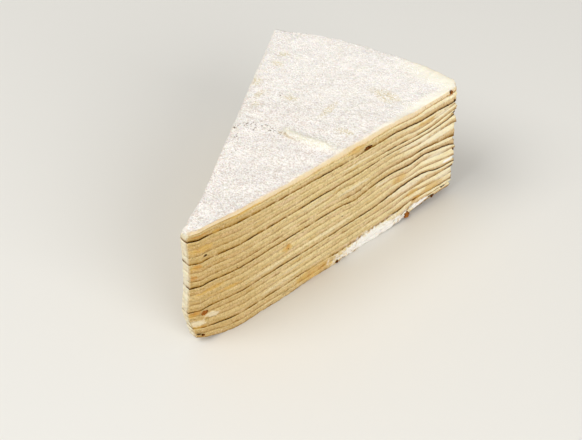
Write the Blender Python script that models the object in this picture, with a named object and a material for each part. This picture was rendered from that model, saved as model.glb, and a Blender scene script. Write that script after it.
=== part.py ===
"""A slice of mille crepe cake: thin crepes with a layer of cream between each pair.

The slice stands on its underside.  +X points across it, to the cut face on its right as seen
from the tip, +Y runs from the blunt tip to the rim of the cake, and +Z is up.  The sizes below
are millimetres; meshes are written in metres.  Every layer is one closed slab on the same grid
of stations, so a crepe and the cream beside it sag and ripple together and never meet.
"""
import math

import bmesh
import bpy

MM = 0.001

# The whole cake, and the slice cut from it
CAKE_RADIUS = 100.0
SLICE_ANGLE = math.radians(36.1)
TIP_BLUNT = 4.9           # the tip is cut off this far from the middle of the cake
TIP_SLANT = 0.3           # and a little further back on its left
LEFT_CORNER_CUT = 1.6     # how far the upright edge between the left-hand cut and the rim is worn back
RIGHT_CORNER_CUT = 1.8    # and the upper half of the one on the right

# The layers, from the bottom: the height of each crepe's underside in a cake that never sagged
CREPE_UNDERSIDES = (0.0, 2.3, 4.8, 8.1, 11.0, 13.2, 16.4, 19.8,
                    22.2, 24.4, 27.3, 30.4, 32.9, 35.2, 37.6, 40.0)
CREPE_THICKNESS = 1.1
TOP_CREPE_THICKNESS = 1.3  # with its dusting of icing sugar
GAP = 0.2                 # clearance between a crepe and the cream beside it
CREAM_SET_BACK = 0.7      # the cream stops short of the crepes at the rim
CREAM_SWELL = 0.15        # and swells out past them at the cuts
TOP_EDGE_ROUND = 0.5      # the top crepe's upper edge is drawn in and down by this

# The tip leans to the left and its end curls over, most of all in its lower half
TIP_LEAN = 1.5
TIP_LEAN_END = 19.0       # distance from the middle of the cake where the lean has died out
TIP_CURL = 1.3
TIP_CURL_END = 7.5
TIP_PUSH_LEFT = 0.8       # how much further the lower layers are pushed to the left
TIP_PUSH_FORWARD = 1.5    # and how far forwards

# Where the layers leave the flat
TIP_LIFT = 2.4            # the underside curls up at the tip
TIP_LIFT_END = 14.0       # distance from the middle of the cake where that curl has died out
TIP_LIFT_TOP = 14.0       # and the level where it has
RIM_LIFT = 2.4            # the underside curls up at the rim, along the right-hand cut
RIM_LIFT_START = 68.0
RIM_LIFT_TOP = 9.0
HUMP = 2.2                # the lower layers ride up over a thick patch of cream
HUMP_REACH = 79.0
DROOP = 4.2               # the middle layers hang down at the rim
DROOP_START = 84.0
DIP = 1.3                 # the upper layers dip just inside the rim
DIP_REACH = 86.0
RIPPLE = 0.7              # the left-hand cut ripples gently, below the top few layers
RIPPLE_TOP = 39.0
RIM_BASE = -0.8           # how far the top layers stand out from the round at the middle of the rim
RIM_SKEW = 1.3            # and how much further out they stand at the right-hand cut
BELLY = 1.2               # the lower layers spread past the top ones
RIM_UNEVEN = 0.35         # no two crepes were poured to the same round

# The stations that every slab is built on
REACH_STATIONS = (0.0, 0.035, 0.09, 0.19, 0.32, 0.45, 0.56, 0.65, 0.73, 0.8, 0.87, 0.94, 1.0)
SIDE_STATIONS = (-1.0, -0.93, -0.5, 0.0, 0.5, 0.93, 1.0)

CREPE_COLOUR = (0.665, 0.479, 0.235, 1.0)
CREAM_COLOUR = (0.855, 0.730, 0.480, 1.0)
SUGAR_COLOUR = (0.900, 0.860, 0.820, 1.0)


def ramp(value, start, end):
    """Rise smoothly from 0 at start to 1 at end."""
    t = min(max((value - start) / (end - start), 0.0), 1.0)
    return t * t * (3.0 - 2.0 * t)


def bell(value, centre, width):
    """A bump of height 1 at centre that has almost died out two widths away."""
    return math.exp(-((value - centre) / width) ** 2)


def sagged(level, reach, side):
    """Height of a point that was at level, at a distance reach from the middle of the cake.

    side is -1 at the left-hand cut and 1 at the right-hand one.
    """
    right = ramp(side, 0.1, 1.0)
    left = ramp(-side, 0.1, 1.0)
    off_plate = ramp(level, 0.0, 5.0)
    at_tip = (1.0 - ramp(reach, 3.0, TIP_LIFT_END)) * max(0.0, 1.0 - level / TIP_LIFT_TOP)
    tip_lift = TIP_LIFT * at_tip
    at_rim = right * ramp(reach, RIM_LIFT_START, 99.0) * max(0.0, 1.0 - level / RIM_LIFT_TOP)
    rim_lift = RIM_LIFT * at_rim
    hump = HUMP * right * off_plate * bell(reach, HUMP_REACH, 9.0) * bell(level, 13.0, 8.0)
    droop = DROOP * right * ramp(reach, DROOP_START, 102.0) * bell(level, 21.0, 7.0)
    dip = DIP * right * bell(reach, DIP_REACH, 8.0) * bell(level, 38.0, 5.0)
    rippled = left * off_plate * ramp(reach, 15.0, 50.0) * (1.0 - ramp(level, 25.0, RIPPLE_TOP))
    ripple = RIPPLE * rippled * math.sin(reach / 8.0 + level / 6.0)
    return level + tip_lift + rim_lift + hump + ripple - droop - dip


def tip_reach(angle):
    """Distance from the middle of the cake to the blunt tip, along a ray at this angle."""
    return TIP_BLUNT / (math.cos(angle) + TIP_SLANT * math.sin(angle))


def pushed_tip(level, reach):
    """How far the lean at the tip moves a point across and along the slice."""
    lean = TIP_LEAN * (1.0 - ramp(reach, 8.0, TIP_LEAN_END))
    curl = TIP_CURL * (1.0 - ramp(reach, 4.5, TIP_CURL_END))
    low = 1.0 - ramp(reach, 5.0, TIP_LEAN_END)
    left = (lean + curl) * (1.0 - 0.4 * ramp(level, 38.0, 41.0))
    left += TIP_PUSH_LEFT * low * bell(level, 10.0, 7.0)
    return -left, -TIP_PUSH_FORWARD * low * bell(level, 14.0, 9.0)


def rim_reach(level, layer, side):
    """Distance from the middle of the cake to the rim of one layer."""
    unevenness = RIM_UNEVEN * math.sin(2.4 * layer + 2.1 * side + 1.3)
    out = RIM_BASE + RIM_SKEW * side + BELLY * bell(level, 13.0, 24.0) + unevenness
    worn = RIGHT_CORNER_CUT * ramp(side, 0.9, 1.0) * ramp(level, 18.0, 32.0)
    return CAKE_RADIUS + out - worn - LEFT_CORNER_CUT * ramp(-side, 0.85, 1.0)


def station(level, layer, along, side, set_back, swell):
    """The place of one grid point of a layer's face, in millimetres.

    Only the points on the edge of a layer are its own: the rest are shared by every layer.
    """
    angle = side * SLICE_ANGLE / 2
    start = tip_reach(angle)
    reach = start + along * (CAKE_RADIUS - start)
    if along == 1.0:
        reach = rim_reach(level, layer, side) - set_back
    x = reach * math.sin(angle)
    y = reach * math.cos(angle)
    if abs(side) == 1.0:
        x += swell * side
    across, along_slice = pushed_tip(level, reach)
    return x + across, y + along_slice, sagged(level, reach, side)


def slab(name, underside, top, layer, set_back=0.0, swell=0.0, top_round=0.0):
    """One closed layer between two levels, as a mesh in metres."""
    rows = len(REACH_STATIONS)
    columns = len(SIDE_STATIONS)
    bm = bmesh.new()
    faces = {}
    for face, level in (("under", underside), ("over", top)):
        inset = top_round if face == "over" else 0.0
        for row, along in enumerate(REACH_STATIONS):
            for column, side in enumerate(SIDE_STATIONS):
                x, y, z = station(level, layer, along, side, set_back + inset, swell - inset)
                on_edge = row in (0, rows - 1) or column in (0, columns - 1)
                drop = inset if on_edge else 0.0
                faces[face, row, column] = bm.verts.new((x * MM, y * MM, (z - drop) * MM))

    for row in range(rows - 1):
        for column in range(columns - 1):
            near, right = (row, column), (row, column + 1)
            far, left = (row + 1, column + 1), (row + 1, column)
            bm.faces.new([faces["over", *corner] for corner in (near, right, far, left)])
            bm.faces.new([faces["under", *corner] for corner in (near, left, far, right)])

    edge = [(0, c) for c in range(columns)]
    edge += [(r, columns - 1) for r in range(1, rows)]
    edge += [(rows - 1, c) for c in range(columns - 2, -1, -1)]
    edge += [(r, 0) for r in range(rows - 2, 0, -1)]
    for here, ahead in zip(edge, edge[1:] + edge[:1]):
        bm.faces.new((faces["under", *here], faces["under", *ahead],
                      faces["over", *ahead], faces["over", *here]))

    bmesh.ops.triangulate(bm, faces=bm.faces[:], quad_method="FIXED")
    mesh = bpy.data.meshes.new(name)
    bm.to_mesh(mesh)
    bm.free()
    mesh.shade_smooth()
    mesh.set_sharp_from_angle(angle=math.radians(40))
    return mesh


def material(name, colour, roughness):
    """A Principled material with one colour."""
    made = bpy.data.materials.new(name)
    made.use_nodes = True
    shader = made.node_tree.nodes["Principled BSDF"]
    shader.inputs["Base Color"].default_value = colour
    shader.inputs["Roughness"].default_value = roughness
    shader.inputs["Metallic"].default_value = 0.0
    return made


def place(name, mesh, finish, parent):
    """Put a layer in the scene under the slice's empty."""
    layer = bpy.data.objects.new(name, mesh)
    layer.data.materials.append(finish)
    layer.parent = parent
    bpy.context.scene.collection.objects.link(layer)


def build_slice():
    """All the layers, hung from an empty that stands at the middle of the whole cake."""
    middle = bpy.data.objects.new("cake_middle", None)
    bpy.context.scene.collection.objects.link(middle)

    crepe = material("crepe", CREPE_COLOUR, 0.6)
    cream = material("cream", CREAM_COLOUR, 0.5)
    sugared = material("sugared_crepe", SUGAR_COLOUR, 0.9)
    last = len(CREPE_UNDERSIDES) - 1
    for index, underside in enumerate(CREPE_UNDERSIDES):
        name = f"crepe_{index + 1:02d}"
        if index < last:
            mesh = slab(name, underside, underside + CREPE_THICKNESS, index)
            place(name, mesh, crepe, middle)
        else:
            top = underside + TOP_CREPE_THICKNESS
            mesh = slab(name, underside, top, index, top_round=TOP_EDGE_ROUND)
            place(name, mesh, sugared, middle)

    for index in range(last):
        name = f"cream_{index + 1:02d}"
        underside = CREPE_UNDERSIDES[index] + CREPE_THICKNESS + GAP
        top = CREPE_UNDERSIDES[index + 1] - GAP
        mesh = slab(name, underside, top, index + 0.5, CREAM_SET_BACK, CREAM_SWELL)
        place(name, mesh, cream, middle)

    centre_on_origin(middle)


def centre_on_origin(middle):
    """Move the slice so that the middle of its box stands over the origin."""
    points = [v.co for layer in middle.children for v in layer.data.vertices]
    for axis in (0, 1):
        low = min(p[axis] for p in points)
        high = max(p[axis] for p in points)
        middle.location[axis] = -(low + high) / 2


for old in list(bpy.data.objects):
    bpy.data.objects.remove(old)
build_slice()
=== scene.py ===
"""The looks of a slice of mille crepe cake, dusted with icing sugar.

Shapes are worked out in millimetres round the middle of the whole cake, and are moved to the
slice's place and turned into metres in the last step of each tree.  reach is the distance from
the middle of the cake, side runs from -1 at the left-hand cut to 1 at the right-hand one, and
height runs from 0 at a layer's underside to 1 at its top.
"""
import math

import bmesh
import bpy
from mathutils import Matrix, Vector, noise


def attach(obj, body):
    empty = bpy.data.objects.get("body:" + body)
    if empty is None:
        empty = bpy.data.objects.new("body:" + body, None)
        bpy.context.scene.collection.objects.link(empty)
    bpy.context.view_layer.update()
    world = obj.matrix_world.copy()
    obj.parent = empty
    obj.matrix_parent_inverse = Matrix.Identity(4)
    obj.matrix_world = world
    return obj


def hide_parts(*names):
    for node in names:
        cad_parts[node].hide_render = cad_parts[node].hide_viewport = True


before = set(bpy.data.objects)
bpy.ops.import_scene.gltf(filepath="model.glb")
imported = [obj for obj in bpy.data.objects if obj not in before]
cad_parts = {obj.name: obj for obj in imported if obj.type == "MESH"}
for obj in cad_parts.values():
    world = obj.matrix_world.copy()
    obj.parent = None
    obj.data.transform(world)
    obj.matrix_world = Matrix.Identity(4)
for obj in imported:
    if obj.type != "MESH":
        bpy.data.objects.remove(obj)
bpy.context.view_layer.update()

scene = bpy.context.scene
MM = 0.001

# The whole cake, and the slice cut from it
CAKE_RADIUS = 100.0
SLICE_ANGLE = math.radians(36.1)
TIP_BLUNT = 4.9
TIP_SLANT = 0.3
LEFT_CORNER = 4.0
HEART = 62.0              # every layer is spun round a point this far from the middle

# The layers
CREPES = 16
OVERLAP = 0.04            # neighbours reach into each other so that no gap shows
THICKER = 0.35            # each crepe reaches this far into the cream below it
AROUND = 760              # points round a layer's edge
WALL_ROWS = 5             # rows of faces up that edge
RINGS = 4                 # rings of points on each face of a layer between its neighbours
GATHER = 3.0              # and how strongly they are drawn towards its edge
TOP_RINGS = 60            # the same for the sugared crepe, whose upper face shows
TOP_GATHER = 1.3
ARC_POINTS = 96           # points along the rim of the outline
CORNER_POINTS = 12        # and round its worn corner

# The tip leans to the left and its end curls over, as in the solids
TIP_LEAN = 1.5
TIP_LEAN_END = 19.0
TIP_CURL = 1.3
TIP_CURL_END = 7.5
TIP_PUSH_LEFT = 0.8
TIP_PUSH_FORWARD = 1.5

# Where the layers leave the flat, as in the solids
TIP_LIFT = 2.4
TIP_LIFT_END = 14.0
TIP_LIFT_TOP = 14.0
RIM_LIFT = 2.4
RIM_LIFT_START = 68.0
RIM_LIFT_TOP = 9.0
HUMP = 2.2
HUMP_REACH = 79.0
DROOP = 4.2
DROOP_START = 84.0
DIP = 1.3
DIP_REACH = 86.0
RIPPLE = 0.7
RIPPLE_TOP = 39.0

# The rim of each layer, as in the solids
RIM_BASE = -0.8
RIM_SKEW = 1.3
BELLY = 1.2
RIM_UNEVEN = 0.35
RIGHT_CORNER_CUT = 1.8

# Smaller waves on the right-hand cut: level and reach of the middle, their spreads, and the rise
WAVES = (
    (24.4, 99, 7.0, 10.0, 1.9), (11.0, 78, 1.6, 10.0, -1.7), (19.8, 81, 3.5, 5.0, -1.65),
    (32.9, 86, 3.5, 10.0, -1.0), (27.3, 72, 3.5, 10.0, 1.5), (13.2, 88, 1.6, 5.0, 1.2),
    (27.3, 55, 1.6, 5.0, 1.2), (22.2, 59, 3.5, 5.0, -1.0), (16.4, 96, 1.6, 10.0, 0.8),
    (37.6, 98, 1.6, 5.0, -1.3), (22.2, 101, 1.6, 2.5, -1.1), (32.9, 68, 3.5, 10.0, -0.6),
    (27.3, 99, 1.6, 10.0, 0.95), (37.6, 54, 1.6, 10.0, -0.5), (8.1, 76, 1.6, 5.0, -0.9),
    (4.8, 84, 3.5, 5.0, 0.5), (4.8, 98, 3.5, 5.0, -0.65), (16.4, 80, 1.6, 5.0, -0.65),
    (19.8, 97, 1.6, 5.0, 0.75), (30.4, 99, 3.5, 2.5, 0.65), (2.3, 67, 3.5, 10.0, 0.5),
    (40.0, 88, 1.6, 5.0, 0.7), (40.0, 14, 4.0, 12.0, 1.1),
)

# How dark each crepe's underside was fried, from the bottom
BROWNED = (0.45, 0.5, 0.75, 0.35, 0.4, 1.0, 0.3, 0.3, 1.0, 0.5, 0.35, 1.05, 0.4, 0.25, 0.85, 0.3)

# Marks on the right-hand cut: reach and height up the slice of the middle, half length, half height
GOLDEN_MARKS = (
    (44.5, 2.4, 8.5, 2.8),     # a smooth, oily patch along the bottom
    (85.5, 6.0, 2.4, 1.2), (93.0, 7.0, 6.0, 1.7), (77.5, 18.8, 4.0, 1.6), (87.0, 34.8, 5.0, 0.9),
    (34.0, 18.5, 2.0, 1.4), (5.6, 12.0, 1.2, 1.3), (8.0, 34.5, 3.5, 1.3), (12.0, 38.4, 1.4, 0.7),
    (6.2, 28.6, 1.6, 0.8), (59.0, 39.3, 4.0, 1.2), (20.0, 40.6, 7.0, 0.5), (83.5, 9.6, 3.5, 1.2),
    (15.0, 16.8, 3.0, 0.7), (10.0, 19.5, 4.0, 0.8), (6.0, 6.4, 2.5, 0.7),
)
PALE_MARKS = (
    (5.8, 8.0, 2.6, 1.4), (9.6, 9.8, 1.6, 0.8),
    (82.0, 13.4, 9.5, 1.3), (93.0, 19.2, 6.0, 1.3), (92.0, 27.0, 9.0, 1.6), (97.5, 9.0, 4.0, 1.6),
    (10.5, 8.9, 1.8, 0.9), (28.0, 15.0, 9.0, 0.7), (48.0, 15.4, 12.0, 0.8), (58.0, 26.2, 7.0, 0.8),
    (31.0, 6.6, 9.0, 0.8), (94.0, 34.5, 4.0, 0.9), (44.0, 28.4, 8.0, 0.6), (84.0, 29.0, 10.0, 0.8),
    (60.0, 34.2, 7.0, 0.6), (71.0, 21.2, 4.0, 0.6), (38.0, 9.6, 9.0, 0.6), (96.0, 39.0, 3.0, 0.8),
)
WHITE_MARKS = (
    (67.5, 2.2, 17.0, 3.4),    # cream pressed out along the bottom
    (87.5, 3.2, 5.0, 0.9), (98.5, 14.0, 2.0, 0.7),
)
AMBER_MARKS = (
    (85.5, 6.2, 2.2, 0.9), (34.2, 18.9, 0.8, 0.9), (6.2, 12.4, 1.4, 0.9), (7.5, 39.3, 3.0, 0.5),
    (96.5, 39.6, 1.6, 0.6), (6.4, 29.2, 1.0, 0.8), (5.4, 25.4, 0.9, 1.0),
)
BURNT_MARKS = (
    (8.6, 31.9, 0.6, 0.4), (54.5, 17.8, 0.4, 0.25), (61.3, 23.5, 0.6, 0.25), (17.0, 22.6, 0.4, 0.25),
    (96.2, 40.6, 0.5, 1.0), (99.2, 36.6, 0.5, 0.9), (99.9, 32.2, 0.7, 0.6), (100.2, 19.0, 0.5, 1.0),
    (100.8, 12.1, 0.7, 0.45), (92.5, 3.1, 1.2, 0.45), (98.0, 3.8, 0.8, 0.6), (85.0, 6.2, 1.2, 0.35),
    (95.3, 36.4, 0.4, 0.3), (5.4, 3.4, 0.8, 0.45), (34.4, 18.2, 0.3, 0.25),
)
SINGED = (                     # stretches where a crepe's underside is darker than the rest
    (47.5, 37.3, 2.0, 0.9), (44.5, 30.3, 3.5, 0.9), (73.0, 32.4, 2.5, 0.9), (77.5, 31.9, 1.8, 0.9),
    (87.0, 25.1, 3.5, 1.0), (81.0, 15.4, 6.0, 1.0), (89.5, 14.8, 3.5, 1.2), (7.0, 13.6, 4.0, 1.2),
    (9.0, 37.6, 6.0, 1.0), (97.5, 12.4, 3.0, 0.8), (99.7, 10.5, 2.0, 0.8), (86.0, 31.5, 3.0, 0.8),
    (98.0, 31.1, 2.5, 0.8), (72.0, 22.9, 6.0, 0.9), (87.0, 22.1, 4.0, 0.9), (80.0, 36.6, 5.0, 0.8),
    (8.0, 22.3, 3.5, 0.8), (11.0, 4.6, 5.0, 0.8), (56.0, 29.2, 3.0, 0.6), (97.0, 20.5, 4.0, 0.8),
)

# The top: a low ridge of cream, the places where the sugar lies thin, and the dark specks.
# Each place is given across and along the slice, with its half width and half length.
RIDGE_PLACE = 50.4
RIDGE_HEIGHT = 0.9
BARE_PATCHES = (
    (-19.5, 77.3, 2.2, 1.4), (-20.9, 82.6, 2.0, 1.6), (-20.0, 67.0, 1.6, 2.4), (-14.6, 57.3, 1.4, 1.8),
    (-7.6, 64.8, 2.2, 1.3), (4.2, 65.5, 1.2, 5.0), (14.4, 80.1, 5.0, 2.6), (12.9, 59.0, 3.0, 1.6),
    (-16.5, 62.0, 1.2, 2.6),
)
SPECKLED = (
    (-24.0, 95.2, 2.4, 0.7),
    (-13.7, 45.6, 0.7, 1.3), (-11.5, 42.3, 0.5, 1.4), (-10.1, 40.2, 0.8, 1.0), (-11.0, 65.0, 0.6, 1.0),
    (-10.6, 48.0, 2.6, 1.6), (-6.6, 50.0, 4.6, 1.2), (-8.3, 36.8, 0.6, 1.6), (-1.6, 50.0, 1.6, 0.9),
)

BROWN_LUMPS = (                # crumbs and flakes that stand out, with their length and height
    (63.0, 37.9, 2.6, 1.0), (53.0, 0.9, 1.3, 1.1), (55.5, 1.0, 0.7, 0.5), (93.5, 2.8, 1.5, 1.1),
    (99.6, 36.3, 0.5, 1.1), (100.3, 31.8, 0.6, 0.7), (101.0, 17.3, 0.5, 1.3), (5.6, 3.1, 1.0, 0.6),
)
AMBER_LUMPS = ((6.3, 11.6, 1.8, 1.3), (82.3, 1.6, 2.3, 2.3), (96.6, 40.4, 0.9, 1.2))
LUMP_ROUGHNESS = 0.55

# Loose grains of icing sugar: how many to a square millimetre, and their radii
GRAIN_DENSITY = 1.6
SMALLEST_GRAIN = 0.08
LARGEST_GRAIN = 0.2

# Light and camera
FLOOR_SIZE = 6.0               # metres
SKY_COLOUR = (1.0, 0.99, 0.97, 1.0)
SKY_STRENGTH = 0.45
LAMPS = (                      # name, place and size in metres, power in watts
    ("key", (-0.35, -0.55, 0.9), 0.7, 6.2),
    ("fill", (0.95, -0.4, 0.45), 0.9, 7.6),
)
LENS = 61.7
CAMERA_PLACE = (109.10, -132.55, 208.63)   # millimetres from the middle of the whole cake
CAMERA_LOOK = (-0.3714, 0.6288, -0.6831)


def srgb(red, green, blue):
    """A colour given as it is seen, 0 to 255, as linear values for a shader."""
    def linear(value):
        value /= 255
        return value / 12.92 if value < 0.04045 else ((value + 0.055) / 1.055) ** 2.4
    return (linear(red), linear(green), linear(blue), 1.0)


# ---------------------------------------------------------------- writing node trees

class Wire:
    """A value carried between nodes, so that a sum of nodes is written as a sum."""

    def __init__(self, board, socket):
        self.board = board
        self.socket = socket

    def __add__(self, other):
        return self.board.math("ADD", self, other)

    def __radd__(self, other):
        return self.board.math("ADD", other, self)

    def __sub__(self, other):
        return self.board.math("SUBTRACT", self, other)

    def __rsub__(self, other):
        return self.board.math("SUBTRACT", other, self)

    def __mul__(self, other):
        return self.board.math("MULTIPLY", self, other)

    def __rmul__(self, other):
        return self.board.math("MULTIPLY", other, self)

    def __truediv__(self, other):
        return self.board.math("DIVIDE", self, other)

    def __pow__(self, other):
        return self.board.math("POWER", self, other)

    def __neg__(self):
        return self.board.math("MULTIPLY", self, -1.0)


class Board:
    """A node tree being written, for a shape or for a finish."""

    def __init__(self, tree):
        self.tree = tree

    def feed(self, socket, value):
        """Link a wire to a socket, or set the socket to a value."""
        if isinstance(value, Wire):
            self.tree.links.new(value.socket, socket)
        else:
            socket.default_value = value

    def add(self, kind, feeds=None, **settings):
        """Add a node with its settings and feed its sockets."""
        node = self.tree.nodes.new(kind)
        for key, value in settings.items():
            setattr(node, key, value)
        for key, value in (feeds or {}).items():
            self.feed(node.inputs[key], value)
        return node

    def wire(self, node, output=0):
        return Wire(self, node.outputs[output])

    def math(self, operation, *values):
        node = self.add("ShaderNodeMath", operation=operation)
        for socket, value in zip(node.inputs, values):
            self.feed(socket, value)
        return self.wire(node)

    def most(self, one, other):
        return self.math("MAXIMUM", one, other)

    def least(self, one, other):
        return self.math("MINIMUM", one, other)

    def ramp(self, value, start, end, low=0.0, high=1.0):
        """Rise smoothly from low at start to high at end."""
        feeds = {"Value": value, "From Min": start, "From Max": end, "To Min": low, "To Max": high}
        return self.wire(self.add("ShaderNodeMapRange", feeds, interpolation_type="SMOOTHSTEP"))

    def bell(self, value, centre, width):
        """A bump of height 1 at centre that has almost died out two widths away."""
        off = (value - centre) / width
        return self.math("POWER", math.e, -(off * off))

    def join(self, x, y, z):
        return self.wire(self.add("ShaderNodeCombineXYZ", {"X": x, "Y": y, "Z": z}))

    def split(self, vector):
        node = self.add("ShaderNodeSeparateXYZ", {"Vector": vector})
        return [self.wire(node, axis) for axis in range(3)]

    def vector(self, operation, one, other, output="Vector"):
        node = self.add("ShaderNodeVectorMath", operation=operation)
        self.feed(node.inputs[0], one)
        self.feed(node.inputs["Scale" if operation == "SCALE" else 1], other)
        return self.wire(node, output)

    def waver(self, place, detail=2.0):
        """Noise round zero, mostly within a half either way, with one bump to each unit."""
        feeds = {"Vector": place, "Scale": 1.0, "Detail": detail, "Roughness": 0.55}
        return (self.wire(self.add("ShaderNodeTexNoise", feeds)) - 0.5) * 2.5

    def blend(self, amount, one, other):
        """Mix two colours."""
        node = self.add("ShaderNodeMix", data_type="RGBA")
        for socket, value in zip((0, 6, 7), (amount, one, other)):
            self.feed(node.inputs[socket], value)
        return self.wire(node, 2)


# ---------------------------------------------------------------- the slice's rule

def waves(b, level, reach):
    """The smaller waves on the right-hand cut, added up."""
    rise = 0.0
    for middle, centre, tall, long, most in WAVES:
        up = (level - middle) / tall
        along = (reach - centre) / long
        rise = b.math("POWER", math.e, -(up * up + along * along)) * most + rise
    return rise


def sagged(b, level, reach, side):
    """Height of a point that lay at level before the slice settled."""
    right = b.ramp(side, 0.1, 1.0)
    left = b.ramp(-side, 0.1, 1.0)
    off_plate = b.ramp(level, 0.0, 5.0)
    at_tip = b.ramp(reach, 3.0, TIP_LIFT_END, 1.0, 0.0) * b.most(1.0 - level / TIP_LIFT_TOP, 0.0)
    at_rim = right * b.ramp(reach, RIM_LIFT_START, 99.0) * b.most(1.0 - level / RIM_LIFT_TOP, 0.0)
    hump = right * off_plate * b.bell(reach, HUMP_REACH, 9.0) * b.bell(level, 13.0, 8.0)
    droop = right * b.ramp(reach, DROOP_START, 102.0) * b.bell(level, 21.0, 7.0)
    dip = right * b.bell(reach, DIP_REACH, 8.0) * b.bell(level, 38.0, 5.0)
    rippled = left * off_plate * b.ramp(reach, 15.0, 50.0) * b.ramp(level, 25.0, RIPPLE_TOP, 1.0, 0.0)
    ripple = rippled * b.math("SINE", reach / 8.0 + level / 6.0)
    lifted = level + TIP_LIFT * at_tip + RIM_LIFT * at_rim + HUMP * hump
    waved = right * b.ramp(level, 0.3, 4.0) * b.ramp(level, 39.9, 40.8, 1.0, 0.4)
    return lifted + RIPPLE * ripple - DROOP * droop - DIP * dip + waved * waves(b, level, reach)


def pushed_tip(b, level, reach):
    """How far the lean at the tip moves a point across and along the slice."""
    lean = TIP_LEAN * b.ramp(reach, 8.0, TIP_LEAN_END, 1.0, 0.0)
    curl = TIP_CURL * b.ramp(reach, 4.5, TIP_CURL_END, 1.0, 0.0)
    low = b.ramp(reach, 5.0, TIP_LEAN_END, 1.0, 0.0)
    left = (lean + curl) * b.ramp(level, 38.0, 41.0, 1.0, 0.6)
    left = left + TIP_PUSH_LEFT * low * b.bell(level, 10.0, 7.0)
    return -left, -TIP_PUSH_FORWARD * low * b.bell(level, 14.0, 9.0)


def new_tree(name, output, sizes):
    """A geometry tree with these named inputs: its board, and what reads an input by its name."""
    tree = bpy.data.node_groups.new(name, "GeometryNodeTree")
    tree.interface.new_socket(output, in_out="OUTPUT", socket_type="NodeSocketGeometry")
    for label, size in sizes.items():
        socket = tree.interface.new_socket(label, in_out="INPUT", socket_type="NodeSocketFloat")
        socket.default_value = size
    b = Board(tree)
    entry = b.add("NodeGroupInput")
    return b, lambda label: b.wire(entry, label)


def close_tree(b, shape, finish):
    """Turn a shape's instances into faces, give it its finish and put it out."""
    realized = b.add("GeometryNodeRealizeInstances", {"Geometry": shape})
    coated = b.add("GeometryNodeSetMaterial", {"Geometry": b.wire(realized), "Material": finish})
    b.add("NodeGroupOutput", {0: b.wire(coated)})


def outline(b, inlet):
    """The wedge seen from above, with a worn corner between its left-hand cut and the rim."""
    arc = b.add("GeometryNodeCurveArc", {
        "Resolution": ARC_POINTS, "Radius": inlet("Cake Radius"),
        "Start Angle": (math.pi - SLICE_ANGLE) / 2, "Sweep Angle": SLICE_ANGLE,
        "Connect Center": True}, mode="RADIUS")
    index = b.wire(b.add("GeometryNodeInputIndex"))
    radius = b.math("COMPARE", index, ARC_POINTS - 1.0, 0.1) * inlet("Left Corner")
    fillet = b.add("GeometryNodeFilletCurve", {
        "Curve": b.wire(arc), "Radius": radius, "Count": CORNER_POINTS, "Limit Radius": True},
        mode="POLY")
    return b.wire(fillet)


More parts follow.
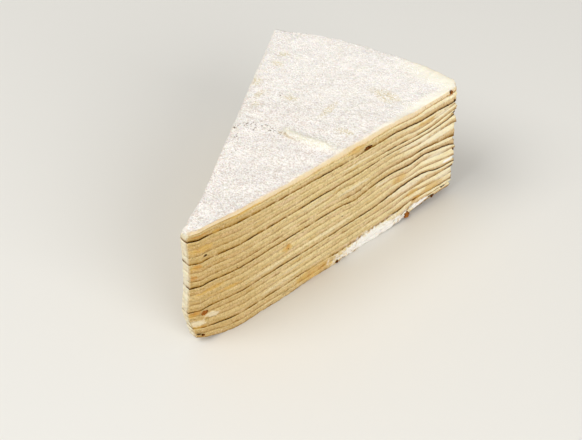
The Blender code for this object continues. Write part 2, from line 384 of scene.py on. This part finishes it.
def layer_tree(name, finish, rings, gather, relief):
    """A tree that makes one layer, spun round the slice's heart as rings of points.

    rings is how many rings fill each face and gather draws them towards the edge.  relief adds
    the unevenness of a sugared top.
    """
    b, inlet = new_tree(name, "Layer", {
        "Underside": 0.0, "Top": 1.0, "Cake Radius": CAKE_RADIUS, "Tip Blunt": TIP_BLUNT,
        "Left Corner": LEFT_CORNER, "Overhang": 0.0, "Swell": 0.1, "Ragged": 0.1,
        "Crown": 0.0, "Browned": 0.0, "Seed": 0.0})
    disc = b.add("GeometryNodeMeshCylinder", {
        "Vertices": AROUND, "Side Segments": WALL_ROWS, "Fill Segments": rings,
        "Radius": 1.0, "Depth": 1.0}, fill_type="TRIANGLE_FAN")
    x, y, z = b.split(b.wire(b.add("GeometryNodeInputPosition")))
    height = z + 0.5
    turn = b.math("FRACT", b.math("ARCTAN2", y, x) / math.tau)
    spread = b.math("SQRT", x * x + y * y)
    spread = 1.0 - b.most(1.0 - spread, 0.0) ** gather

    edge = b.add("GeometryNodeSampleCurve", {"Curves": outline(b, inlet), "Factor": turn},
                 mode="FACTOR", use_all_curves=True)
    edge_x, edge_y, _ = b.split(b.wire(edge, "Position"))
    along_x, along_y, _ = b.split(b.wire(edge, "Tangent"))
    blunt = inlet("Tip Blunt") - TIP_SLANT * edge_x
    nose = b.math("LESS_THAN", edge_y, blunt)
    edge_y = b.most(edge_y, blunt)
    tilt = math.hypot(1.0, TIP_SLANT)
    outward_x = along_y - nose * (along_y + TIP_SLANT / tilt)
    outward_y = nose * (along_x - 1.0 / tilt) - along_x
    flat_x = edge_x * spread
    flat_y = (edge_y - HEART) * spread + HEART
    depth = (edge_x * outward_x + (edge_y - HEART) * outward_y) * (1.0 - spread)
    reach = b.math("SQRT", flat_x * flat_x + flat_y * flat_y)
    side = b.math("ARCTAN2", flat_x, flat_y) / (SLICE_ANGLE / 2)

    # Height: the layer's own, with its neighbours' slow waver
    under = inlet("Underside")
    top = inlet("Top")
    crown = inlet("Crown")
    rounded = crown - b.math("SQRT", crown * crown - b.most(crown - depth, 0.0) ** 2.0)
    level = under + height * (top - under - rounded)
    slow = b.waver(b.join(flat_x / 16.0, flat_y / 16.0, level / 7.0 + 3.0))
    quick = b.waver(b.join(flat_x / 3.5, flat_y / 3.5, level / 2.5))
    off_plate = b.ramp(level, 0.3, 4.0)
    free = b.ramp(side, 0.0, 0.9, 1.0, 0.3)
    level = level + off_plate * (slow * 0.7 * free + quick * 0.14)
    if relief:
        level = level + relief(b, flat_x, flat_y, depth, height)
    drop = sagged(b, level, reach, side)

    # Edge: rounded between its neighbours, ragged where it was poured and cut
    at_rim = b.ramp(b.math("SQRT", edge_x * edge_x + edge_y * edge_y), 97.0, 99.6)
    spot = b.join(edge_x, edge_y, level * 1.3 + inlet("Seed") * 9.0)
    torn = b.waver(b.vector("SCALE", spot, 0.6)) + 1.6 * b.waver(b.vector("SCALE", spot, 0.13))
    flush = 1.0 - b.math("ABSOLUTE", 2.0 * height - 1.0) ** 3.0
    uneven = RIM_UNEVEN * b.math("SINE", 2.4 * inlet("Seed") + 2.1 * side - 1.1)
    worn = RIGHT_CORNER_CUT * b.ramp(side, 0.9, 1.0) * b.ramp(level, 18.0, 32.0)
    belly = RIM_BASE + RIM_SKEW * side + BELLY * b.bell(level, 13.0, 24.0) - worn + uneven
    belly = belly + inlet("Overhang")
    torn = inlet("Ragged") * torn * (1.0 + 1.8 * at_rim + b.ramp(level, 1.5, 6.0, 2.0, 0.0))
    pressed = b.bell(level, 3.3, 1.6) * b.ramp(reach, 49.0, 54.0) * b.ramp(reach, 78.0, 84.0, 1.0, 0.0)
    out = torn + inlet("Swell") * flush + 0.6 * pressed * b.ramp(side, 0.9, 0.99)
    edged = b.ramp(depth, 0.0, 2.0, 1.0, 0.0)
    push_x, push_y = pushed_tip(b, level, reach)
    rim = belly * at_rim * edged / CAKE_RADIUS
    place = b.join(flat_x * (1.0 + rim) + out * edged * outward_x + push_x,
                   flat_y * (1.0 + rim) + out * edged * outward_y + push_y, drop)

    shape = b.wire(disc, "Mesh")
    for label, value in (("height", height), ("reach", reach), ("side", side), ("depth", depth),
                         ("nose", nose), ("browned", inlet("Browned")), ("seed", inlet("Seed"))):
        stored = b.add("GeometryNodeStoreNamedAttribute", {
            "Geometry": shape, "Name": label, "Value": value}, data_type="FLOAT", domain="POINT")
        shape = b.wire(stored)
    moved = b.add("GeometryNodeSetPosition", {"Geometry": shape, "Position": place})
    seat = b.add("GeometryNodeTransform", {
        "Geometry": b.wire(moved), "Translation": tuple(MIDDLE), "Scale": (MM, MM, MM)})
    smooth = b.add("GeometryNodeSetShadeSmooth", {"Geometry": b.wire(seat)})
    close_tree(b, b.wire(smooth), finish)
    return b.tree


def grow(name, tree, slot, nodes=(), **sizes):
    """Run a tree with these sizes, keep its result as a plain mesh, and hang it on the slice."""
    piece = bpy.data.objects.new(name, bpy.data.meshes.new(name))
    scene.collection.objects.link(piece)
    maker = piece.modifiers.new("maker", "NODES")
    maker.node_group = tree
    for item in tree.interface.items_tree:
        label = item.name.replace(" ", "_").lower()
        if item.item_type == "SOCKET" and item.in_out == "INPUT" and label in sizes:
            maker[item.identifier] = sizes[label]
    depsgraph = bpy.context.evaluated_depsgraph_get()
    mesh = bpy.data.meshes.new_from_object(piece.evaluated_get(depsgraph), depsgraph=depsgraph)
    piece.modifiers.clear()
    piece.data = mesh
    mesh.name = name
    return hang(piece, nodes)


def hang(piece, nodes=()):
    """Make a finished piece part of the slice, in place of these solids."""
    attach(piece, "root")
    if nodes:
        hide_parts(*nodes)
    return piece


# ---------------------------------------------------------------- finishes

def principled(name):
    """A new material: its board, its shader node and the material itself."""
    made = bpy.data.materials.new(name)
    made.use_nodes = True
    return Board(made.node_tree), made.node_tree.nodes["Principled BSDF"], made


def attribute(b, name):
    return b.wire(b.add("ShaderNodeAttribute", attribute_name=name), "Fac")


def millimetres(b):
    """Object coordinates in millimetres, as a vector."""
    spot = b.wire(b.add("ShaderNodeTexCoord"), "Object")
    return b.vector("SCALE", spot, 1 / MM)


def stretched(b, spot, flat, upright):
    """A place in a pattern that is drawn out along the layers."""
    return b.vector("MULTIPLY", spot, (1 / flat, 1 / flat, 1 / upright))


def bumps(b, shader, height, distance):
    shader.inputs["Specular IOR Level"].default_value = 0.0
    node = b.add("ShaderNodeBump", {"Height": height, "Distance": distance * MM, "Strength": 1.0})
    b.feed(shader.inputs["Normal"], b.wire(node))


def soften(shader, weight, depth):
    """Let light into the food, this many millimetres deep."""
    shader.inputs["Subsurface Weight"].default_value = weight
    shader.inputs["Subsurface Radius"].default_value = (1.0, 0.6, 0.3)
    shader.inputs["Subsurface Scale"].default_value = depth * MM


TAN = srgb(226, 201, 144)
PINK_TAN = srgb(232, 204, 161)
TIP_TAN = srgb(188, 148, 78)
LINE_TAN = srgb(186, 150, 76)
GOLD = srgb(216, 174, 92)
AMBER = srgb(198, 136, 56)
BROWN = srgb(128, 86, 4)
BURNT = srgb(50, 18, 0)
CREAM = srgb(233, 211, 156)
RIM_CREAM = srgb(251, 236, 194)
PALE_CREAM = srgb(254, 244, 216)
WHITE_CREAM = srgb(254, 250, 243)
SUGAR = srgb(255, 250, 243)
SUGAR_SHADE = srgb(224, 212, 202)
DAMP_SUGAR = srgb(252, 247, 229)
BARE_SUGAR = srgb(231, 218, 184)
RIDGE_CREAM = srgb(251, 246, 222)
EDGE_CREAM = srgb(224, 206, 172)
BARE_CREPE = srgb(228, 196, 142)
# painted shadow along the tipward foot of the ridge of cream on the top
RIDGE_SHADOW_PAINT = srgb(186, 162, 116)
SPECK = srgb(120, 108, 92)
GRAIN_WHITE = srgb(252, 250, 248)
CRUMB_BROWN = srgb(118, 72, 32)
CARAMEL = srgb(164, 102, 46)
DARK_CARAMEL = srgb(104, 58, 22)
FLOOR_WHITE = srgb(232, 230, 224)


def from_nearest(b, marks, along, across):
    """How far a place is from the nearest of these ellipses, in ellipses' half lengths."""
    nearest = 16.0
    for centre, height, length, tall in marks:
        one = (along - centre) / length
        other = (across - height) / tall
        nearest = b.least(one * one + other * other, nearest)
    return b.math("SQRT", nearest)


def marked(b, colour, spot):
    """A colour with the golden, pale and burnt marks of the right-hand cut laid over it."""
    reach = attribute(b, "reach")
    z = b.split(spot)[2]
    ragged = b.waver(b.vector("SCALE", spot, 0.8), 3.0)
    shown = b.ramp(attribute(b, "side"), 0.3, 0.9) * (1.0 - attribute(b, "nose"))
    gold = b.blend(b.ramp(ragged, -0.1, 0.5), GOLD, AMBER)
    pale = b.most(b.ramp(reach, 40.0, 85.0, 0.2, 0.5), b.ramp(reach, 12.0, 16.0, 0.5, 0.2))
    for marks, paint, strength in ((GOLDEN_MARKS, gold, 0.6), (PALE_MARKS, PALE_CREAM, pale),
                                   (AMBER_MARKS, AMBER, 0.55),
                                   (WHITE_MARKS, WHITE_CREAM, 0.95), (BURNT_MARKS, BURNT, 0.9)):
        away = from_nearest(b, marks, reach, z) + ragged * 0.55
        colour = b.blend(b.ramp(away, 0.5, 1.1, strength, 0.0) * shown, colour, paint)
    return colour


def creamed_nose(b, colour, spot):
    """A colour smeared over with pale cream on the blunt tip."""
    smeared = b.waver(b.vector("SCALE", spot, 0.8), 3.0)
    amount = attribute(b, "nose") * b.ramp(attribute(b, "side"), 0.3, 0.95, 1.0, 0.3)
    return b.blend(b.most(amount * (0.8 + smeared * 0.4), 0.0), colour, PALE_CREAM)


def freckled(b, colour, spot, amount):
    """A colour broken up by small darker and paler spots."""
    mottled = b.waver(b.vector("SCALE", spot, 1.3), 3.0)
    small = b.waver(b.vector("SCALE", spot, 2.6), 2.0)
    colour = b.blend(b.ramp(mottled, -0.1, 0.7) * amount, colour, BROWN)
    colour = b.blend(b.ramp(small, 0.0, 0.7) * amount * 0.7, colour, BROWN)
    return b.blend(b.ramp(small, -0.1, -0.7) * amount, colour, PALE_CREAM)


def crepe_colour(b, spot):
    """The cut edge of a crepe: tan, browned along its underside and burnt here and there."""
    height = attribute(b, "height")
    seed = attribute(b, "seed")
    reach = attribute(b, "reach")
    nose = attribute(b, "nose")
    x, y, z = b.split(spot)
    streaks = b.waver(stretched(b, spot, 7.0, 0.6), 3.0)
    rimward = b.ramp(reach, 60.0, 90.0)
    flesh = b.blend(b.ramp(streaks + rimward * 0.6, -0.3, 0.4), TAN, PINK_TAN)
    golden = b.waver(b.join(x / 6.0, y / 6.0, z * 0.8 + seed))
    flesh = b.blend(b.ramp(golden, 0.0, 0.6) * 0.4, flesh, GOLD)
    flesh = b.blend(b.ramp(reach, 6.0, 42.0, 0.55, 0.0), flesh, TIP_TAN)
    flesh = creamed_nose(b, freckled(b, flesh, spot, 0.42), spot)

    # The line along the underside, with a paler halo above it
    patchy = b.waver(b.join(x / 4.0, y / 4.0, seed * 5.0))
    fine = b.waver(b.join(x / 0.8, y / 0.8, seed * 5.0))
    singed = b.ramp(from_nearest(b, SINGED, reach, z) + fine * 0.2, 0.5, 1.1, 1.0, 0.0)
    singed = singed * b.ramp(attribute(b, "side"), 0.3, 0.9)
    uneven = 1.1 + patchy * 1.5 + fine * 0.9 + rimward * 0.7
    fried = attribute(b, "browned") * uneven + singed - nose * 0.35
    line = b.bell(height + fine * 0.1, 0.08, 0.36)
    halo = b.bell(height, 0.1, 0.8) * b.ramp(fried, 0.1, 1.2, 0.0, 0.45)
    flesh = b.blend(halo * (1.0 - nose * 0.6), flesh, LINE_TAN)
    colour = b.blend(b.least(b.most(fried, 0.0), 1.0) * line, flesh, BROWN)
    return b.blend(b.ramp(fried, 1.0, 1.7) * line ** 2.0, colour, BURNT)


def crepe_finish():
    b, shader, made = principled("crepe")
    spot = millimetres(b)
    b.feed(shader.inputs["Base Color"], marked(b, crepe_colour(b, spot), spot))
    grain = b.waver(stretched(b, spot, 0.9, 0.4), 3.0)
    b.feed(shader.inputs["Roughness"], 0.65 + grain * 0.2)
    bumps(b, shader, grain, 0.25)
    soften(shader, 0.05, 0.8)
    return made


def cream_finish():
    b, shader, made = principled("cream")
    spot = millimetres(b)
    reach = attribute(b, "reach")
    side = attribute(b, "side")
    streaks = b.waver(stretched(b, spot, 8.0, 0.6))
    whiter = b.ramp(reach, 60.0, 92.0)
    whiter = b.most(whiter, b.ramp(side, -0.6, 0.4, 0.75, 0.0))
    colour = b.blend(b.least(b.most(whiter + streaks * 0.5, 0.0), 1.0), CREAM, RIM_CREAM)
    # Painted shade: the cream darkens towards its underside, as a bulge lit from above would, less so
    # where it is whiter
    painted_shade = b.ramp(attribute(b, "height"), 0.0, 0.8, 0.3, 0.0)
    colour = b.blend(painted_shade * (1.0 - whiter * 0.7), colour, BROWN)
    smeared = b.waver(stretched(b, spot, 4.0, 0.9), 3.0)
    tipward = b.ramp(reach, 6.0, 42.0, 0.5, 0.0) * b.ramp(side, 0.5, 1.0)
    colour = b.blend(b.ramp(smeared, 0.1, 0.6) * (0.4 - whiter * 0.3), colour, GOLD)
    colour = b.blend(tipward, colour, TIP_TAN)
    colour = creamed_nose(b, freckled(b, colour, spot, 0.38 - whiter * 0.24), spot)
    b.feed(shader.inputs["Base Color"], marked(b, colour, spot))
    smears = b.waver(stretched(b, spot, 1.2, 0.4), 3.0)
    b.feed(shader.inputs["Roughness"], 0.42 + smears * 0.15)
    bumps(b, shader, smears, 0.25)
    soften(shader, 0.15, 1.0)
    return made


def sugar_colour(b, x, y, reach, speckle, clumps, drifts):
    """Icing sugar with its dark specks, thin in places, over a ridge of cream with painted shade at
    its foot.
    """
    shade = b.ramp(speckle + clumps * 0.3, -0.3, 0.55) * b.ramp(reach, 50.0, 90.0, 1.0, 0.45)
    white = b.blend(shade, SUGAR, SUGAR_SHADE)
    white = b.blend(b.ramp(drifts + clumps * 0.5, 0.15, 0.8) * 0.4, white, DAMP_SUGAR)
    bare = b.ramp(from_nearest(b, BARE_PATCHES, x, y) + clumps * 0.6, 0.4, 1.3, 0.9, 0.0)
    white = b.blend(bare * b.ramp(speckle, -0.5, 0.4), white, BARE_SUGAR)
    specks = b.ramp(from_nearest(b, SPECKLED, x, y) + clumps * 0.3, 0.5, 1.2, 1.0, 0.0)
    white = b.blend(specks * b.ramp(speckle, 0.05, 0.45), white, SPECK)
    ridge, crest = ridge_on_top(b, x, y)
    white = b.blend(ridge * (0.7 + clumps * 0.3), white, RIDGE_CREAM)
    # Painted shadow: a darker line along the tipward foot of the ridge
    ridge_shadow = b.bell(y, crest - 1.5, 0.35) * b.ramp(x, -3.5, -2.2) * b.ramp(x, 0.0, 5.0, 1.0, 0.0)
    return b.blend(ridge_shadow * 0.6, white, RIDGE_SHADOW_PAINT)


def sugared_finish():
    """The top crepe: its cut edge below, and icing sugar above that thins along the right cut."""
    b, shader, made = principled("sugared_crepe")
    spot = millimetres(b)
    height = attribute(b, "height")
    depth = attribute(b, "depth")
    side = attribute(b, "side")
    reach = attribute(b, "reach")
    angle = side * (SLICE_ANGLE / 2)
    speckle = b.waver(b.vector("SCALE", spot, 1.9), 3.0)
    clumps = b.waver(b.vector("SCALE", spot, 0.45), 3.0)
    drifts = b.waver(b.vector("SCALE", spot, 0.09), 2.0)
    white = sugar_colour(b, reach * b.math("SINE", angle), reach * b.math("COSINE", angle), reach,
                         speckle, clumps, drifts)
    margin = 1.2 + 8.0 * b.ramp(reach, 60.0, 96.0) + drifts * 2.0 + clumps * 1.5
    damp = b.ramp(depth, margin * 0.2, margin, 1.0, 0.0) * b.ramp(side, 0.2, 0.7)
    top = b.blend(damp * b.ramp(reach, 55.0, 90.0, 0.5, 0.85), white, DAMP_SUGAR)
    bared = b.ramp(depth + clumps * 0.6, 0.5, 2.4, 0.85, 0.0) * b.ramp(side, 0.2, 0.7)
    top = b.blend(bared * b.ramp(reach, 20.0, 36.0, 1.0, 0.15), top, BARE_CREPE)

    # The cut edge, and where it gives way to the top
    creamy = b.ramp(height + clumps * 0.3, 0.4, 1.0) * 0.8
    cut = b.blend(creamy, crepe_colour(b, spot), EDGE_CREAM)
    flecks = b.ramp(speckle + clumps * 0.5, 0.2, 0.5) * b.ramp(reach, 74.0, 90.0)
    cut = b.blend(flecks * 0.8, cut, BROWN)
    shown = b.ramp(depth + clumps * 0.4 + speckle * 0.2, 0.1, 0.9) * b.ramp(height, 0.9, 1.0)
    off_cut = (1.0 - side) * reach * (SLICE_ANGLE / 2)
    shown = b.most(shown, b.ramp(off_cut, 0.8, 2.2, 0.0, 0.93))
    b.feed(shader.inputs["Base Color"], b.blend(shown, marked(b, cut, spot), top))
    b.feed(shader.inputs["Roughness"], 0.85 - damp * 0.25)
    bumps(b, shader, (speckle * 0.5 + clumps * 0.5) * (1.0 - damp * 0.7), 0.4)
    soften(shader, 0.1, 0.8)
    return made


def plain_finish(name, colour, other, roughness, size):
    """A finish that wavers between two colours in patches of this size."""
    b, shader, made = principled(name)
    spot = millimetres(b)
    patches = b.waver(b.vector("SCALE", spot, 1 / size), 3.0)
    b.feed(shader.inputs["Base Color"], b.blend(b.ramp(patches, -0.4, 0.4), colour, other))
    shader.inputs["Roughness"].default_value = roughness
    bumps(b, shader, patches, 0.1 * size)
    return made


# ---------------------------------------------------------------- the layers

def middle_of_cake():
    """Where the planes of the two cuts meet in the frame: the middle of the whole cake."""
    half = SLICE_ANGLE / 2
    rimward = [v.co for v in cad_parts["crepe_08"].data.vertices if v.co.y > 0.0]
    right = max(co.x * math.cos(half) - co.y * math.sin(half) for co in rimward)
    left = max(-co.x * math.cos(half) - co.y * math.sin(half) for co in rimward)
    across = (right - left) / (2 * math.cos(half))
    return Vector((across, -(right + left) / (2 * math.sin(half)), 0.0))


def faces_of(node):
    """Heights in millimetres of a solid layer's two faces, where nothing sags."""
    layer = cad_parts[node]
    off_seam = 0.2            # a ray straight down the seam between two faces can miss both
    spot = MIDDLE + Vector((off_seam, HEART, 0.0)) * MM
    up = Vector((0.0, 0.0, 1.0))
    under = layer.ray_cast(spot - up, up)[1].z
    top = layer.ray_cast(spot + up, -up)[1].z
    return under / MM, top / MM


def ridge_on_top(b, x, y):
    """A low ridge of cream under the sugar, 1 along its crest, and the line of the crest."""
    crest = RIDGE_PLACE + 0.018 * (x - 6.0) ** 2.0 + b.waver(b.join(x / 3.0, 0.0, 7.0)) * 0.5
    return b.bell(y, crest, 1.6) * b.ramp(x, -3.0, -0.8) * b.ramp(x, 9.0, 18.0, 1.0, 0.0), crest


def top_relief(b, x, y, depth, height):
    """Lumps of sugar on the top, a ridge of cream that lifts it, and its sunken patches."""
    lumps = b.waver(b.join(x * 0.75, y * 0.75, 0.0), 4.0) * 0.16
    swells = b.waver(b.join(x * 0.11, y * 0.11, 4.0)) * 0.5
    inner = b.ramp(depth, 0.2, 1.6)
    return height * (inner * (lumps + swells) + ridge_on_top(b, x, y)[0] * RIDGE_HEIGHT)


def make_layers():
    """Every crepe and every layer of cream, and the sugared crepe on top, as a list."""
    layers = []
    faces = {number: faces_of(f"crepe_{number:02d}") for number in range(1, CREPES + 1)}
    crepe = layer_tree("crepe", crepe_finish(), RINGS, GATHER, None)
    cream = layer_tree("cream", cream_finish(), RINGS, GATHER, None)
    sugared = layer_tree("sugared crepe", sugared_finish(), TOP_RINGS, TOP_GATHER, top_relief)
    for number, (under, top) in faces.items():
        node = f"crepe_{number:02d}"
        under -= THICKER if number > 1 else 0.0
        own = {"underside": under, "top": top, "browned": BROWNED[number - 1], "seed": float(number)}
        if number < CREPES:
            layers.append(grow(f"{node}_sheet", crepe, "crepe", [node], overhang=0.15, swell=0.02,
                               ragged=0.12, **own))
        else:
            layers.append(grow(f"{node}_sugared", sugared, "sugared_crepe", [node], overhang=0.1,
                               swell=0.05, ragged=0.15, crown=0.6, **own))
    for number in range(1, CREPES):
        node = f"cream_{number:02d}"
        under = faces[number][1] - OVERLAP
        top = faces[number + 1][0] - THICKER + OVERLAP
        layers.append(grow(f"{node}_filling", cream, "cream", [node], underside=under, top=top,
                           overhang=-0.15, swell=0.06, ragged=0.16, seed=number + 0.5))
    return layers


# ---------------------------------------------------------------- sugar and crumbs

def grain_tree(finish, top_name):
    """Loose grains of icing sugar, thrown over the top and left where they fall."""
    b, inlet = new_tree("sugar grains", "Grains", {
        "Density": GRAIN_DENSITY, "Smallest": SMALLEST_GRAIN, "Largest": LARGEST_GRAIN})
    top = b.add("GeometryNodeObjectInfo", {"Object": bpy.data.objects[top_name]})

    def named(label):
        node = b.add("GeometryNodeInputNamedAttribute", {"Name": label}, data_type="FLOAT")
        return b.wire(node, "Attribute")

    facing = b.ramp(named("height"), 0.9, 1.0) * b.ramp(named("depth"), 0.3, 2.5)
    edge = b.ramp(named("side"), 0.3, 0.8) * b.ramp(named("depth"), 2.0, 5.0, 1.0, 0.0)
    density = inlet("Density") / (MM * MM) * facing * (1.0 - edge)
    points = b.add("GeometryNodeDistributePointsOnFaces", {
        "Mesh": b.wire(top, "Geometry"), "Density": density, "Seed": 4})
    grain = b.add("GeometryNodeMeshIcoSphere", {"Radius": MM, "Subdivisions": 1})
    size = b.add("FunctionNodeRandomValue", data_type="FLOAT")
    b.feed(size.inputs[2], inlet("Smallest"))
    b.feed(size.inputs[3], inlet("Largest"))
    turn = b.add("FunctionNodeRandomValue", data_type="FLOAT_VECTOR")
    turn.inputs[1].default_value = (math.tau, math.tau, math.tau)
    thrown = b.add("GeometryNodeInstanceOnPoints", {
        "Points": b.wire(points, "Points"), "Instance": b.wire(grain, "Mesh"),
        "Rotation": b.wire(turn, 0), "Scale": b.wire(size, 1)})
    close_tree(b, b.wire(thrown), finish)
    return b.tree


def stick_lumps(name, marks, finish, layers):
    """Small ragged lumps stuck to the right-hand cut, joined into one piece."""
    half = SLICE_ANGLE / 2
    outward = Vector((math.cos(half), -math.sin(half), 0.0))
    along = Vector((math.sin(half), math.cos(half), 0.0))
    turn = Matrix((outward, along, (0.0, 0.0, 1.0))).transposed()
    bm = bmesh.new()
    for number, (reach, height, length, tall) in enumerate(marks):
        start = MIDDLE + (along * reach + outward * 10.0 + Vector((0.0, 0.0, height))) * MM
        hits = [layer.ray_cast(start, -outward) for layer in layers]
        spots = [spot for found, spot, _, _ in hits if found]
        if not spots:
            continue
        spot = min(spots, key=lambda point: (point - start).length)
        thick = 0.2 + 0.3 * min(length, tall)
        ball = bmesh.ops.create_icosphere(bm, subdivisions=3, radius=1.0)
        for vertex in ball["verts"]:
            spread = noise.fractal(vertex.co * 1.3 + Vector((number * 7.0, 0, 0)), 0.9, 2.0, 3)
            rough = 1.0 + LUMP_ROUGHNESS * spread
            size = Vector((thick, length / 2, tall / 2)) * rough * MM
            vertex.co = spot + turn @ Vector(a * b for a, b in zip(vertex.co, size))
    mesh = bpy.data.meshes.new(name)
    bm.to_mesh(mesh)
    bm.free()
    mesh.shade_smooth()
    mesh.materials.append(finish)
    piece = bpy.data.objects.new(name, mesh)
    scene.collection.objects.link(piece)
    return hang(piece)


# ---------------------------------------------------------------- stage, light and camera

def set_stage():
    """A pale floor under soft light, and the camera."""
    bpy.ops.mesh.primitive_plane_add(size=FLOOR_SIZE)
    floor = bpy.context.object
    floor.name = "floor"
    _, shader, made = principled("pale_floor")
    shader.inputs["Base Color"].default_value = FLOOR_WHITE
    shader.inputs["Roughness"].default_value = 0.6
    floor.data.materials.append(made)

    world = bpy.data.worlds.new("studio")
    world.use_nodes = True
    sky = world.node_tree.nodes["Background"]
    sky.inputs["Color"].default_value = SKY_COLOUR
    sky.inputs["Strength"].default_value = SKY_STRENGTH
    scene.world = world

    for name, place, size, power in LAMPS:
        lamp = bpy.data.lights.new(name, "AREA")
        lamp.shape = "DISK"
        lamp.size = size
        lamp.energy = power
        holder = bpy.data.objects.new(name, lamp)
        holder.location = place
        holder.rotation_euler = (-Vector(place)).to_track_quat("-Z", "Y").to_euler()
        scene.collection.objects.link(holder)

    lens = bpy.data.cameras.new("camera")
    lens.lens = LENS
    lens.clip_start = 0.01
    camera = bpy.data.objects.new("camera", lens)
    camera.location = MIDDLE + Vector(CAMERA_PLACE) * MM
    camera.rotation_euler = Vector(CAMERA_LOOK).to_track_quat("-Z", "Y").to_euler()
    scene.collection.objects.link(camera)
    scene.camera = camera
    scene.view_settings.view_transform = "Standard"


MIDDLE = middle_of_cake()
set_stage()
layers = make_layers()
sugar = plain_finish("icing_sugar", SUGAR, GRAIN_WHITE, 0.9, 0.5)
grow("sugar_grains", grain_tree(sugar, "crepe_16_sugared"), "sugared_crepe")
crumb = plain_finish("brown_crumb", BURNT, CRUMB_BROWN, 0.7, 0.9)
stick_lumps("brown_crumbs", BROWN_LUMPS, crumb, layers)
caramel = plain_finish("amber_crumb", CARAMEL, DARK_CARAMEL, 0.7, 1.2)
stick_lumps("amber_crumbs", AMBER_LUMPS, caramel, layers)
